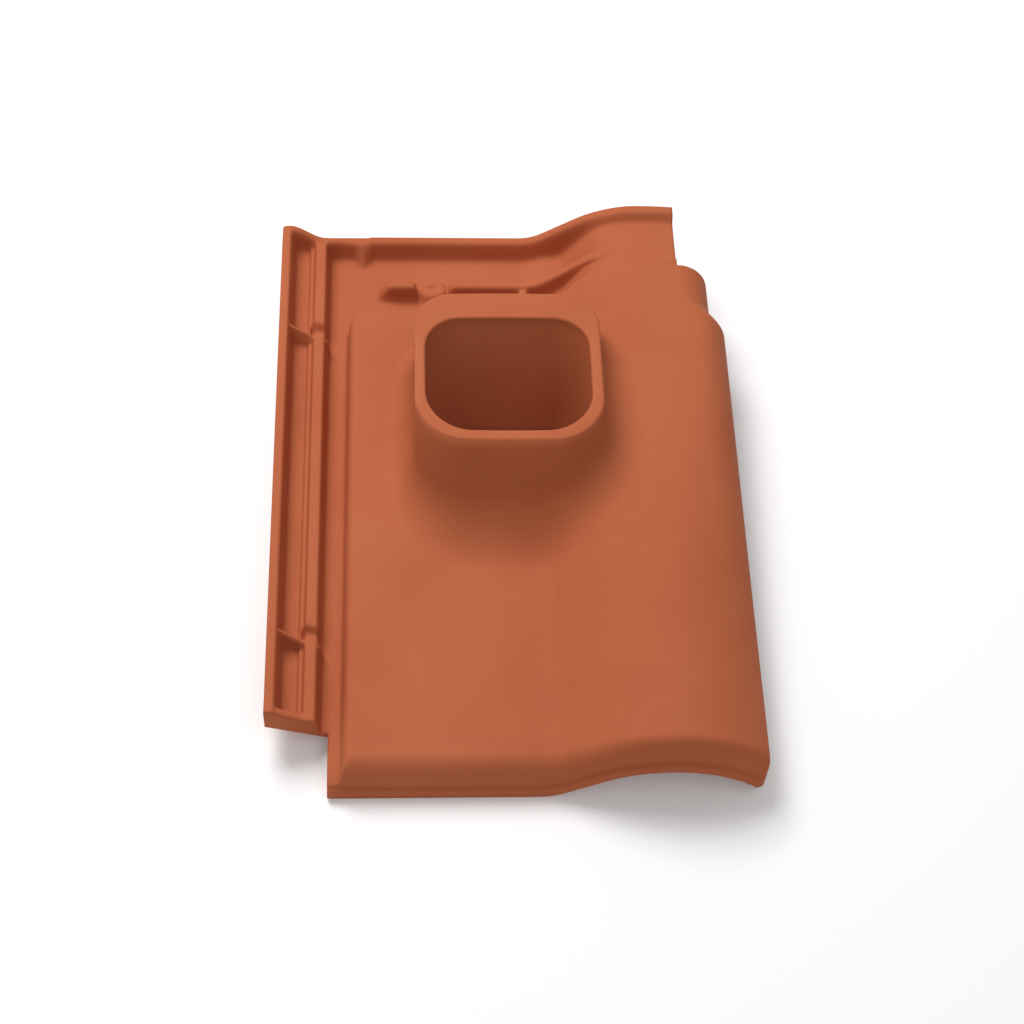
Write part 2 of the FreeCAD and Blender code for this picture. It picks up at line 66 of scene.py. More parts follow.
# Heights and places below are millimetres in the tile's own frame: x from the side lock's outer edge,
# y from the tail's edge up the slope, z from the tail's lower edge.
SHELL = 11.0
SLOPE = math.radians(34.7)
CROWN_RADIUS = 61.0
VALLEY_RADIUS = 25.0
HEAD_STEP = 12.0
HEAD_SHELL = 9.0
LOCK_WIDTH = 32.0
LOCK_CUT = 32.0
PAN_FOOT = 38.5
PAN_EDGE = 40.0
NIB_DROP = 9.0
NIB_FROM_HEAD = 26.0
NIB_DEPTH = 12.0
NIBS = ((62.0, 92.0), (122.0, 152.0))
BAFFLES = (277.0, 73.0)
BAFFLE_SKEW = 8.0
BAFFLE_WIDTH = 6.0
ROLL_FULLNESS = 190.0
ROLL_CUT = (277.0, 291.0)
ROLL_CUT_WIDTH = 8.0
TAIL_CORNER = 8.0
HEAD_SIDE_CUT = 27.0
BODY_END = 304.5
BODY_END_ROLL = 316.0


class TileSizes(bpy.types.PropertyGroup):
    """Driving sizes of the tile."""

    length: bpy.props.FloatProperty(
        name="Length", description="Tail edge to the back of the head", default=0.360, unit="LENGTH")
    width: bpy.props.FloatProperty(
        name="Width", description="Outer edge of the side lock to the outer edge of the roll",
        default=0.258, unit="LENGTH")
    pan_top: bpy.props.FloatProperty(
        name="Pan height", description="Upper face of the pan above the tail's lower edge",
        default=0.0245, unit="LENGTH")
    roll_rise: bpy.props.FloatProperty(
        name="Roll rise", description="Crown of the roll above the pan", default=0.0285, unit="LENGTH")
    mouth_height: bpy.props.FloatProperty(
        name="Socket height", description="Rim of the socket above the tail's lower edge",
        default=0.078, unit="LENGTH")


class ClayLook(bpy.types.PropertyGroup):
    """Colour and surface of the fired clay."""

    body: bpy.props.FloatVectorProperty(
        name="Clay", description="Main colour of the fired clay", subtype="COLOR", size=3,
        default=(0.462, 0.125, 0.052))
    dark: bpy.props.FloatVectorProperty(
        name="Dark clay", description="Colour of the darker cloudy patches", subtype="COLOR", size=3,
        default=(0.415, 0.103, 0.041))
    roughness: bpy.props.FloatProperty(
        name="Roughness", description="Roughness of the bare clay", default=0.72, subtype="FACTOR")


def settings():
    """The sizes and the look held by the scene."""
    return bpy.context.scene.tile_sizes, bpy.context.scene.tile_clay


# ---------------------------------------------------------------- curves

def soft_plus(value, soft):
    """Zero below 0 and the value itself above 0, with a bend of the given softness between."""
    return 0.5 * (value + np.sqrt(value * value + soft * soft))


def ramp(value, start, end, soft=0.6):
    """Rises from 0 at start to 1 at end in a straight line with softened bends."""
    run = end - start
    return (soft_plus(value - start, soft) - soft_plus(value - end, soft)) / run


def plateau(value, start, end, run, soft=0.6):
    """One between start and end, and falls to 0 over a run outside them."""
    return ramp(value, start - run, start, soft) * (1.0 - ramp(value, end, end + run, soft))


def smooth(value, start, end):
    """Cubic step from 0 at start to 1 at end."""
    t = np.clip((value - start) / (end - start), 0.0, 1.0)
    return t * t * (3.0 - 2.0 * t)


def soft_min(one, two, soft):
    """Lower of two heights, with the corner between them rounded."""
    return 0.5 * (one + two - np.sqrt((one - two) ** 2 + soft * soft))


def soft_max(one, two, soft):
    """Higher of two heights, with the corner between them rounded."""
    return 0.5 * (one + two + np.sqrt((one - two) ** 2 + soft * soft))


def edge_drop(distance, reach, fall):
    """Fall of an edge rounded as a quarter ellipse, at a distance inside the edge."""
    t = np.clip(1.0 - distance / reach, 0.0, 1.0)
    return fall * (1.0 - np.sqrt(1.0 - t * t))


def softened(points, soft):
    """A polyline profile as a function of x, its corners rounded by a moving average."""
    xs, zs = np.array(points, dtype=float).T
    fine = np.arange(xs[0] - 4.0, xs[-1] + 4.0, 0.05)
    reach = int(3.0 * soft / 0.05)
    kernel = np.exp(-0.5 * (np.arange(-reach, reach + 1) * 0.05 / soft) ** 2)
    flat = np.pad(np.interp(fine, xs, zs), reach, mode="edge")
    rounded = np.convolve(flat, kernel / kernel.sum(), mode="valid")
    return lambda x: np.interp(x, fine, rounded)


def spaced(*runs):
    """Grid lines from runs of (end, step), starting at 0."""
    lines, start = [0.0], 0.0
    for end, step in runs:
        count = max(1, round((end - start) / step))
        lines.extend(start + (end - start) * np.arange(1, count + 1) / count)
        start = end
    return np.array(lines)


# ---------------------------------------------------------------- the tile's heights

class Tile:
    """The tile's surfaces as formulas, in millimetres in its own frame."""

    def __init__(self, sizes):
        """Takes the driving sizes and works out the lock's profiles and the tile's tilt."""
        self.length = sizes.length / MM
        self.width = sizes.width / MM
        self.pan_top = sizes.pan_top / MM
        self.rise = sizes.roll_rise / MM
        self.mouth = sizes.mouth_height / MM
        self.crown = self.width - 50.0
        self.lock = softened((
            (0, 34.5), (5.2, 34.5), (8.0, 19.0), (14.8, 19.0), (15.2, 18.2), (15.8, 18.2), (16.2, 21.2),
            (18.9, 21.2), (19.5, 25.0), (25.8, 25.0), (28.4, 11.5), (60, 11.5)), 0.45)
        self.lock_wall = softened(
            ((-3, 31), (1.5, 34.3), (5, 34.5), (9, 33.4), (20, 25.2), (24, 23.7), (60, 23.7)), 1.0)
        self.lock_web = softened(((0, 34.3), (5, 34.3), (9, 31.5), (20, 25.2), (60, 25.0)), 0.8)
        drop = HEAD_STEP + HEAD_SHELL + NIB_DROP - self.pan_top
        reach = self.length - NIB_FROM_HEAD - NIB_DEPTH
        self.tilt = math.atan2(drop, reach)

    def wave(self, x, rise):
        """Height above the pan: flat pan, valley arc, straight flank, crown arc."""
        flank_x = self.crown - CROWN_RADIUS * math.sin(SLOPE)
        flank_z = rise - CROWN_RADIUS * (1.0 - math.cos(SLOPE))
        fall = flank_z - VALLEY_RADIUS * (1.0 - math.cos(SLOPE))
        foot_x = flank_x - fall / math.tan(SLOPE)
        valley_x = foot_x - VALLEY_RADIUS * math.sin(SLOPE)
        valley = VALLEY_RADIUS - np.sqrt(np.clip(VALLEY_RADIUS ** 2 - (x - valley_x) ** 2, 0.0, None))
        flank = flank_z + (x - flank_x) * math.tan(SLOPE)
        arc = np.sqrt(np.clip(CROWN_RADIUS ** 2 - (x - self.crown) ** 2, 0.0, None))
        crown = rise - CROWN_RADIUS + arc
        return np.select([x < valley_x, x < foot_x, x < flank_x], [0.0 * x, valley, flank], crown)

    def full_wave(self, x):
        """The wave with its crown carried on almost level towards the roll's outer side."""
        past = np.clip(x - self.crown - 4.0, 0.0, None)
        level = self.rise + 0.8 - (ROLL_FULLNESS - np.sqrt(ROLL_FULLNESS ** 2 - past ** 2))
        lift = 0.8 * smooth(x, 185.0, self.crown)
        return np.where(past > 0.0, level, np.minimum(self.wave(x, self.rise) + lift, self.rise + 0.8))

    def roll(self, x, y):
        """The plain wave at the tail, turning into the fuller wave with a rounded shoulder at the head."""
        tail = self.wave(x, self.rise)
        head = self.full_wave(x) - edge_drop(self.right_edge(y) - x, 18.0, 21.0)
        height = tail + (head - tail) * smooth(y, 30.0, 300.0)
        return height * self.tail_share(y)

    def tail_share(self, y):
        """How much of the roll's full height it has: a little less at the tail."""
        return 1.0 - 0.09 * (1.0 - smooth(y, 0.0, 130.0))

    def right_edge(self, y):
        """Outer edge of the roll: a rounded corner at the tail, cut back beside the head."""
        cut = ROLL_CUT_WIDTH * smooth(y, *ROLL_CUT)
        return self.width - cut - edge_drop(y, TAIL_CORNER, TAIL_CORNER)

    def floor_step(self, x, y):
        """How far the sunk floor lies under the wave: deep beside the pan, shallow on the roll."""
        behind = HEAD_STEP - 6.5 * smooth(x, 172.0, 190.0) + 5.5 * np.exp(-((x - 165.0) / 8.5) ** 2)
        before = HEAD_STEP - 9.5 * smooth(x, 160.0, 186.0)
        return before + (behind - before) * smooth(y, self.length - 39.0, self.length - 34.0)

    def body_end(self, x):
        """Where the pan and roll end towards the head: a rounded corner, a straight, then further back."""
        corner = edge_drop(x - PAN_EDGE, 15.0, 12.0)
        return BODY_END + (BODY_END_ROLL - BODY_END) * smooth(x, 150.0, 186.0) - np.minimum(corner, 12.0)

    def baffle_line(self, x, start):
        """Tail side of a baffle, which runs askew across the lock."""
        return start + BAFFLE_SKEW * (1.0 - x / LOCK_WIDTH)

    def lock_top(self, x, y):
        """Ribs, groove and channel of the side lock, with baffles, notches and end walls."""
        height = self.lock(x)
        for start in BAFFLES:
            line = y - self.baffle_line(x, start)
            inside = 1.0 - ramp(x, 27.5, 30.5)
            wall = self.lock_web(x) * plateau(line, 0.8, BAFFLE_WIDTH - 1.2, 1.6, 0.8) * inside
            notch = 5.0 * plateau(line, 6.5, 11.5, 1.5, 1.0) * plateau(x, 18.5, 27.0, 1.0)
            height = soft_max(height - notch, wall, 0.8)
        across = 1.0 - ramp(x, 25.6, 28.4, 0.8)
        end = self.lock_web(x) * plateau(y, LOCK_CUT - 6.0, LOCK_CUT + 6.0, 2.2, 1.2) * across
        return soft_max(height, end, 0.8)

    def nail_boss(self, x, y):
        """Rounded pad with a dimple in the gap of the second rib."""
        middle_x, middle_y = 89.0, self.length - 35.0
        far = np.hypot((x - middle_x) / 10.5, (y - middle_y) / 8.0)
        pad = 5.0 * (1.0 - ramp(far, 0.72, 1.0, 0.12))
        dimple = 1.6 * np.exp(-((x - middle_x) / 2.6) ** 2 - ((y - middle_y - 1.5) / 1.4) ** 2)
        return pad - dimple

    def head_floor(self, x, y):
        """Sunk floor behind the pan, which comes up under the roll."""
        return self.pan_top + self.full_wave(x) - self.floor_step(x, y)

    def second_rib(self, x, y):
        """Height added by the second rib, its gap and the nail boss."""
        floor = self.head_floor(x, y)
        top = self.pan_top - 0.6 + self.full_wave(x)
        start = self.length - 39.0 + 5.0 * smooth(x, 150.0, 200.0)
        fade = 1.0 - smooth(x, 178.0, 199.0)
        left = ramp(x, 56.0, 63.0, 1.2)
        gap = 1.0 - plateau(x, 80.5, 97.5, 1.8, 0.8)
        along = plateau(y, start, start + 5.5, 2.0, 0.9)
        web = plateau(x, 139.5, 145.0, 1.5, 0.8) * (1.0 - ramp(y, start + 1.0, start + 3.0)) * 0.9
        rib = (top - floor) * np.maximum(along * fade * left * gap, web)
        return soft_max(rib, self.nail_boss(x, y), 0.6)

    def upper(self, x, y):
        """Upper face of the whole tile apart from the socket."""
        body = self.pan_top + self.roll(x, y)
        rim_top = self.pan_top + self.full_wave(x) - 0.8 * (1.0 - smooth(x, 50.0, 52.5))
        floor = self.head_floor(x, y)
        wedge = 8.0 * np.clip(1.0 - np.abs(x - 47.5) / 6.0, 0.0, 1.0)
        rim = ramp(y, self.length - 9.0 - wedge, self.length - 5.5, 1.2)
        low = floor + self.second_rib(x, y) * (1.0 - rim)
        low = low + (rim_top - low) * rim
        blend = ramp(x, 33.0, 38.0, 1.0)
        side = self.lock_top(x, y)
        side = side + (self.lock_wall(x) - side) * ramp(y, self.length - 7.5, self.length - 4.5, 1.0)
        low = side + (low - side) * blend
        rounded = body - np.minimum(edge_drop(x - PAN_EDGE, 5.5, 5.5), 5.5)
        rounded = rounded - np.minimum(edge_drop(self.body_end(x) - y, 2.5, 2.5), 2.5)
        inside = ramp(x, PAN_FOOT, PAN_EDGE, 0.5) * (1.0 - ramp(y - self.body_end(x), 0.0, 2.4, 0.6))
        height = low + (rounded - low) * inside
        height = height - edge_drop(y, 14.0, 5.0) * ramp(x, 31.0, 32.0, 0.1) * (1.0 - inside)
        over_roll = smooth(x, 150.0, 200.0)
        lip = 2.6
        fall = edge_drop(y - lip, 12.5 - 4.0 * over_roll, 16.0) + 1.6 * np.clip(1.0 - y / lip, 0.0, 1.0)
        nose = body - fall + 0.3
        return np.where(y < 20.0, soft_min(height, nose, 0.7), height)

    # ------------------------------------------------------------ heights of the lower face

    def lower(self, x, y):
        """Lower face: hollow pan and roll, deep tail lip, ramped lock foot and hanging nibs."""
        body = self.pan_top - SHELL + self.wave(x, self.rise) * self.tail_share(y)
        head = self.pan_top + self.wave(x, self.rise) - self.floor_step(x, 0.0 * y) - HEAD_SHELL
        deep = 0.93 * self.wave(x, self.rise)
        under = body + (head - body) * ramp(y, BODY_END - 14.0, BODY_END - 9.0, 2.0)
        for west, east in NIBS:
            south = self.length - NIB_FROM_HEAD - NIB_DEPTH
            nib = plateau(x, west, east, 1.0, 0.8) * plateau(y, south, south + NIB_DEPTH, 1.0, 0.8)
            under = under - NIB_DROP * nib
        under = deep + (under - deep) * ramp(y, 13.0, 17.5, 1.5)
        foot = 6.0 + 12.0 * np.clip(1.0 - x / LOCK_WIDTH, 0.0, 1.0)
        foot = foot + (0.0 - foot) * (1.0 - ramp(y, 13.0, 17.5, 1.5)) * ramp(x, 31.0, 32.0, 0.1)
        hook = plateau(x, self.width - 18.0, self.width - 13.0, 1.0) * plateau(y, 38.0, 263.0, 2.0)
        under = under - 8.0 * hook
        return foot + (under - foot) * ramp(x, PAN_FOOT + 2.0, PAN_FOOT + 5.0, 1.0)


# ---------------------------------------------------------------- the skin as one closed mesh

class Skin:
    """Collects points and four-sided faces, then welds them into one mesh."""

    def __init__(self):
        """Starts with no points."""
        self.points, self.faces, self.count = [], [], 0

    def add(self, points, faces):
        """Adds a block of points and the faces that number them from 0."""
        self.points.append(points.reshape(-1, 3))
        self.faces.append(faces + self.count)
        self.count += points.reshape(-1, 3).shape[0]

    def sheet(self, points, keep=None, turned=False):
        """Adds a grid of points as faces; keep tells which cells stay."""
        rows, columns = points.shape[:2]
        index = np.arange(rows * columns).reshape(rows, columns)
        corners = [index[:-1, :-1], index[:-1, 1:], index[1:, 1:], index[1:, :-1]]
        faces = np.stack(corners[::-1] if turned else corners, axis=-1)
        faces = faces.reshape(-1, 4) if keep is None else faces[keep]
        self.add(points, faces)

    def mesh(self, name):
        """One mesh of all that was added, in metres."""
        points, faces = np.concatenate(self.points) * MM, np.concatenate(self.faces)
        mesh = bpy.data.meshes.new(name)
        mesh.from_pydata(points.tolist(), [], faces.tolist())
        mesh.validate()
        return mesh


# West, east, tail and head sides of the part of the grid that makes way for the socket.
WINDOW = (54.0, 212.0, 112.0, 290.0)


def grid_lines(tile):
    """Lines across and along the tile, close together where the shape turns quickly."""
    width, length = tile.width, tile.length
    nib_south = length - NIB_FROM_HEAD - NIB_DEPTH
    across = spaced(
        (1.2, 0.4), (9, 0.65), (15.6, 1.1), (21.6, 0.4), (25, 0.8), (31, 0.6), (32, 0.5), (37.5, 0.9),
        (46, 0.7),
        (WINDOW[0], 1.2), (80, 1.3), (84, 0.8), (95, 1.5), (99, 0.8), (137, 2.4), (147, 1.0),
        (151, 1.3), (154, 1.0), (WINDOW[1], 2.5), (229.5, 2.0), (231, 0.5), (238, 1.6), (246, 1.1),
        (width - 1.2, 1.1), (width, 0.4))
    along = spaced(
        (1.2, 0.4), (5, 0.5), (18, 0.9), (31, 2.8), (33, 0.5), (42, 0.9), (66, 3.4), (92, 1.0),
        (WINDOW[2], 3.0), (262, 3.5), (WINDOW[3], 1.2), (300, 1.1), (BODY_END + 3.5, 0.65),
        (nib_south - 2, 1.2),
        (length - 30, 0.75), (length - 24, 0.9), (length - 11, 1.7), (length - 1.2, 0.75), (length, 0.4))
    return across, along


def placed(tile, across, along):
    """The grid's points in plan, with its rows drawn along the baffles and the body's curved end."""
    x, y = np.meshgrid(across, along)
    shift = 0.0 * x
    for start in BAFFLES:
        near = np.clip(1.0 - np.abs(y - start - 6.0) / 22.0, 0.0, 1.0)
        shift += near * (tile.baffle_line(x, start) - start - 4.0) * (1.0 - smooth(x, 32.0, 50.0))
    near = smooth(y, 286.0, BODY_END) * (1.0 - smooth(y, BODY_END + 1.0, 328.0))
    shift += near * (tile.body_end(np.maximum(x, PAN_EDGE)) - BODY_END) * smooth(x, 33.0, 41.0)
    y = y + shift
    edge = tile.width - HEAD_SIDE_CUT
    squeeze = (tile.right_edge(y) - edge) / HEAD_SIDE_CUT
    return np.where(x > edge, edge + (x - edge) * squeeze, x), y


def window_cells(across, along):
    """Which grid cells make way for the socket."""
    mid_x, mid_y = 0.5 * (across[:-1] + across[1:]), 0.5 * (along[:-1] + along[1:])
    inside_x = (mid_x > WINDOW[0]) & (mid_x < WINDOW[1])
    inside_y = (mid_y > WINDOW[2]) & (mid_y < WINDOW[3])
    return inside_y[:, None] & inside_x[None, :]


def outline_keep(tile, x, y):
    """Which grid cells belong to the tile: not the tail beside the lock, nor the head beside the roll."""
    mid_x = 0.25 * (x[:-1, :-1] + x[:-1, 1:] + x[1:, :-1] + x[1:, 1:])
    mid_y = 0.25 * (y[:-1, :-1] + y[:-1, 1:] + y[1:, :-1] + y[1:, 1:])
    tail = (mid_x < LOCK_WIDTH) & (mid_y < LOCK_CUT)
    head = (mid_x > tile.width - HEAD_SIDE_CUT) & (mid_y > tile.body_end(mid_x))
    return ~(tail | head)


def build_skin(tile):
    """Upper and lower faces, the edges that join them, and the socket with its passage."""
    across, along = grid_lines(tile)
    x, y = placed(tile, across, along)
    keep, window = outline_keep(tile, x, y), window_cells(across, along)
    inset = edge_inset(keep, x, y)
    upper = tile.upper(x, y) - edge_drop(inset, 1.2, 1.2)
    lower = tile.lower(x, y) + edge_drop(inset, 1.2, 1.2)
    skin = Skin()
    top = np.stack([x, y, upper], axis=-1)
    bottom = np.stack([x, y, lower], axis=-1)
    skin.sheet(top, keep & ~window)
    skin.sheet(bottom, keep & ~window, turned=True)
    add_edges(skin, keep, top, bottom)
    add_socket(skin, tile, x, y, window)
    return skin


def edge_inset(keep, x, y):
    """Distance of each grid point from the outline, along the grid's lines, up to a few millimetres."""
    padded = np.pad(keep, 1)
    counts = padded[:-1, :-1].astype(int) + padded[:-1, 1:] + padded[1:, :-1] + padded[1:, 1:]
    rim = (counts > 0) & (counts < 4)
    edge_points = np.stack([x[rim], y[rim]], axis=-1)
    near = np.full(x.shape, 9.0)
    inner = counts == 4
    points = np.stack([x[inner], y[inner]], axis=-1)
    nearest = np.full(len(points), 9.0)
    for start in range(0, len(points), 4000):
        block = points[start:start + 4000]
        gap = block[:, None, :] - edge_points[None, :, :]
        nearest[start:start + 4000] = np.sqrt((gap ** 2).sum(axis=-1)).min(axis=1)
    near[inner] = nearest
    near[rim] = 0.0
    return near


def add_edges(skin, keep, top, bottom):
    """Upright faces between the two sheets wherever a kept cell has no neighbour."""
    padded = np.pad(keep, 1)
    own = padded[1:-1, 1:-1]
    sides = (
        (own & ~padded[:-2, 1:-1], (0, 0), (0, 1)), (own & ~padded[2:, 1:-1], (1, 1), (1, 0)),
        (own & ~padded[1:-1, :-2], (1, 0), (0, 0)), (own & ~padded[1:-1, 2:], (0, 1), (1, 1)))
    for open_side, one, two in sides:
        row, column = np.nonzero(open_side)
        if not len(row):
            continue
        a = (row + one[0], column + one[1])
        b = (row + two[0], column + two[1])
        steps = np.linspace(0.0, 1.0, 4)[:, None, None]
        left = bottom[a] + (top[a] - bottom[a]) * steps
        right = bottom[b] + (top[b] - bottom[b]) * steps
        quads = np.stack([left[:-1], right[:-1], right[1:], left[1:]], axis=2)
        faces = np.arange(quads.shape[0] * quads.shape[1] * 4).reshape(-1, 4)
        skin.add(quads, faces)


# ---------------------------------------------------------------- socket

SOCKET_MIDDLE = (128.5, 221.5)
MOUTH_HALF = (51.25, 49.5)
MOUTH_CORNERS = (28.0, 21.0)
BORE_MIDDLE = (128.3, 216.0)
BORE_HALF = (45.0, 36.9)
BORE_CORNERS = (25.0, 19.0)
BOW = 1.2
LEAN = 0.47
BORE_LEAN = 0.52
COLLAR_FOOT = 13.5
COLLAR_WALL = 6.0
FLARE_REACH = {"west": 16.0, "east": 28.0, "tail": 22.0, "head": 14.0}
FLARE_RISE = 24.0
RIM_ROUND = 1.6


def window_loop(window):
    """Grid rows and columns of the points round the socket's window, anticlockwise."""
    rows, columns = np.nonzero(window)
    low, high = rows.min(), rows.max() + 1
    west, east = columns.min(), columns.max() + 1
    loop = [(low, c) for c in range(west, east)] + [(r, east) for r in range(low, high)]
    loop += [(high, c) for c in range(east, west, -1)] + [(r, west) for r in range(high, low, -1)]
    row, column = np.array(loop).T
    return row, column


def box_outline(direction, middle, half, corners, grow, lean=0.0):
    """Points of a rounded rectangle in the given directions, grown and drawn out towards the tail."""
    south, north = corners[0] + grow, corners[1] + grow
    hx, hy = half[0] + grow, half[1] + grow
    arcs = ((hx - south, -hy + south, south, -90), (hx - north, hy - north, north, 0),
            (-hx + north, hy - north, north, 90), (-hx + south, -hy + south, south, 180))
    turns = np.linspace(0.0, 1.0, 40)
    points = []
    for middle_x, middle_y, radius, begin in arcs:
        turn = np.radians(begin + 90.0 * turns)
        arc = [middle_x + radius * np.cos(turn), middle_y + radius * np.sin(turn)]
        points.append(np.stack(arc, axis=-1))
    outline = np.concatenate(points)
    angle = np.unwrap(np.arctan2(outline[:, 1], outline[:, 0]))
    angle, outline = np.append(angle, angle[0] + 2 * np.pi), np.vstack([outline, outline[:1]])
    wanted = np.mod(direction - angle[0], 2 * np.pi) + angle[0]
    spot = np.stack([np.interp(wanted, angle, outline[:, k]) for k in (0, 1)], axis=-1)
    share = smooth(np.abs(spot[:, 1]), 0.0, hy) * (1.0 - (spot[:, 0] / hx) ** 2)
    spot[:, 1] += BOW * np.sign(spot[:, 1]) * share
    spot[:, 1] -= lean * 0.5 * (1.0 - spot[:, 1] / hy)
    return spot + np.array(middle)


def flare_reach(direction):
    """Reach of the flare round the socket, blended between its four sides."""
    east, north = np.cos(direction), np.sin(direction)
    reach = np.where(east > 0.0, FLARE_REACH["east"], FLARE_REACH["west"]) * east ** 2
    return reach + np.where(north > 0.0, FLARE_REACH["head"], FLARE_REACH["tail"]) * north ** 2


def ring(plan, level):
    """One ring of points from places in plan and a level or levels."""
    return np.column_stack([plan, level + 0.0 * plan[:, 0]])


def add_socket(skin, tile, x, y, window):
    """Rings from the window up the flare, over the rim, down the passage and out to the window below."""
    row, column = window_loop(window)
    outer = np.stack([x[row, column], y[row, column]], axis=-1)
    offset = outer - np.array(SOCKET_MIDDLE) + np.array((0.0, 14.0))
    direction = np.arctan2(offset[:, 1], offset[:, 0])
    reach = flare_reach(direction)
    base = tile.pan_top + tile.wave(np.full(1, SOCKET_MIDDLE[0]), tile.rise)[0]
    fall = tile.mouth - base

    def wall(level):
        """Outline of the outer wall at a level."""
        lean = LEAN * (tile.mouth - level)
        return box_outline(direction, SOCKET_MIDDLE, MOUTH_HALF, MOUTH_CORNERS, 0.0, lean)

    foot = wall(base)
    outward = foot - np.array(SOCKET_MIDDLE) + np.array((0.0, LEAN * fall * 0.5))
    outward /= np.linalg.norm(outward, axis=1)[:, None]
    flare_end = foot + outward * reach[:, None]
    rings = []
    for part in np.linspace(0.0, 1.0, 9):
        plan = outer + (flare_end - outer) * part
        rings.append(ring(plan, tile.upper(plan[:, 0], plan[:, 1])))
    for turn in np.radians(np.linspace(0.0, 90.0, 19)[1:]):
        lift = FLARE_RISE * (1.0 - math.cos(turn))
        away = outward * (reach * (1.0 - math.sin(turn)))[:, None]
        ground = foot + away
        level = tile.upper(ground[:, 0], ground[:, 1]) + lift
        shift = wall_shift(wall, base, level, foot)
        rings.append(np.column_stack([ground + shift, level]))
    neck = rings[-1]
    lip = wall(tile.mouth - RIM_ROUND)
    for part in np.linspace(0.0, 1.0, 9)[1:]:
        level = neck[:, 2] + (tile.mouth - RIM_ROUND - neck[:, 2]) * part
        rings.append(np.column_stack([neck[:, :2] + (lip - neck[:, :2]) * part, level]))
    for turn in np.radians(np.linspace(0.0, 90.0, 6)[1:]):
        grow = -RIM_ROUND * (1.0 - math.cos(turn))
        plan = box_outline(direction, SOCKET_MIDDLE, MOUTH_HALF, MOUTH_CORNERS, grow)
        rings.append(ring(plan, tile.mouth - RIM_ROUND * (1.0 - math.sin(turn))))
    for turn in np.radians(np.linspace(90.0, 0.0, 6)):
        grow = RIM_ROUND * (1.0 - math.cos(turn))
        plan = box_outline(direction, BORE_MIDDLE, BORE_HALF, BORE_CORNERS, grow)
        rings.append(ring(plan, tile.mouth - RIM_ROUND * (1.0 - math.sin(turn))))
    rings += passage_rings(tile, direction, outer)
    rings = np.stack(rings)
    skin.sheet(np.concatenate([rings, rings[:, :1]], axis=1))


def wall_shift(wall, base, level, foot):
    """How far the leaning wall has moved in plan between the pan's level and each point's own level."""
    top = wall(base + 1.0) - foot
    return top * np.clip(level - base, 0.0, None)[:, None]


def passage_rings(tile, direction, outer):
    """Rings down the leaning passage, round its lower edge and out to the window on the underside."""
    start = tile.mouth - RIM_ROUND

    def passage(level, grow):
        """Outline of the leaning passage at a level, grown outwards."""
        plan = box_outline(direction, BORE_MIDDLE, BORE_HALF, BORE_CORNERS, grow)
        return plan - np.column_stack([0.0 * direction, BORE_LEAN * (start - level) + 0.0 * direction])

    rings = []
    for part in np.linspace(0.0, 1.0, 15)[1:]:
        level = start + (COLLAR_FOOT + 0.8 - start) * part
        rings.append(ring(passage(level, 0.0), level))
    for grow in (0.8, 0.5 * COLLAR_WALL, COLLAR_WALL - 0.8):
        rings.append(ring(passage(COLLAR_FOOT, grow), COLLAR_FOOT))
    beside = passage(COLLAR_FOOT, COLLAR_WALL)
    shell = np.maximum(tile.lower(beside[:, 0], beside[:, 1]), COLLAR_FOOT + 0.01)
    for part in (0.0, 0.5, 1.0):
        rings.append(ring(beside, np.minimum(COLLAR_FOOT + 0.8, shell) * (1.0 - part) + shell * part))
    for part in np.linspace(0.0, 1.0, 9)[1:]:
        plan = beside + (outer - beside) * part
        rings.append(ring(plan, tile.lower(plan[:, 0], plan[:, 1])))
    return rings


def tile_object(sizes):
    """The tile as one closed object, laid down as it rests on the floor."""
    tile = Tile(sizes)
    mesh = build_skin(tile).mesh("clay_tile")
    weld(mesh)
    turn = Matrix.Rotation(tile.tilt, 4, "X")
    mesh.transform(turn)
    shape = np.empty(len(mesh.vertices) * 3)
    mesh.vertices.foreach_get("co", shape)
    low, high = shape.reshape(-1, 3).min(axis=0), shape.reshape(-1, 3).max(axis=0)
    mesh.transform(Matrix.Translation((-(low[0] + high[0]) / 2, -(low[1] + high[1]) / 2, -low[2])))
    mesh.shade_smooth()
    piece = bpy.data.objects.new("clay_tile", mesh)
    bpy.context.scene.collection.objects.link(piece)
    return piece


def weld(mesh):
    """Joins points that lie on each other and turns every face outwards."""
    work = bmesh.new()
    work.from_mesh(mesh)
    bmesh.ops.remove_doubles(work, verts=work.verts, dist=0.00001)
    bmesh.ops.recalc_face_normals(work, faces=work.faces)
    work.to_mesh(mesh)
    work.free()


# ---------------------------------------------------------------- clay

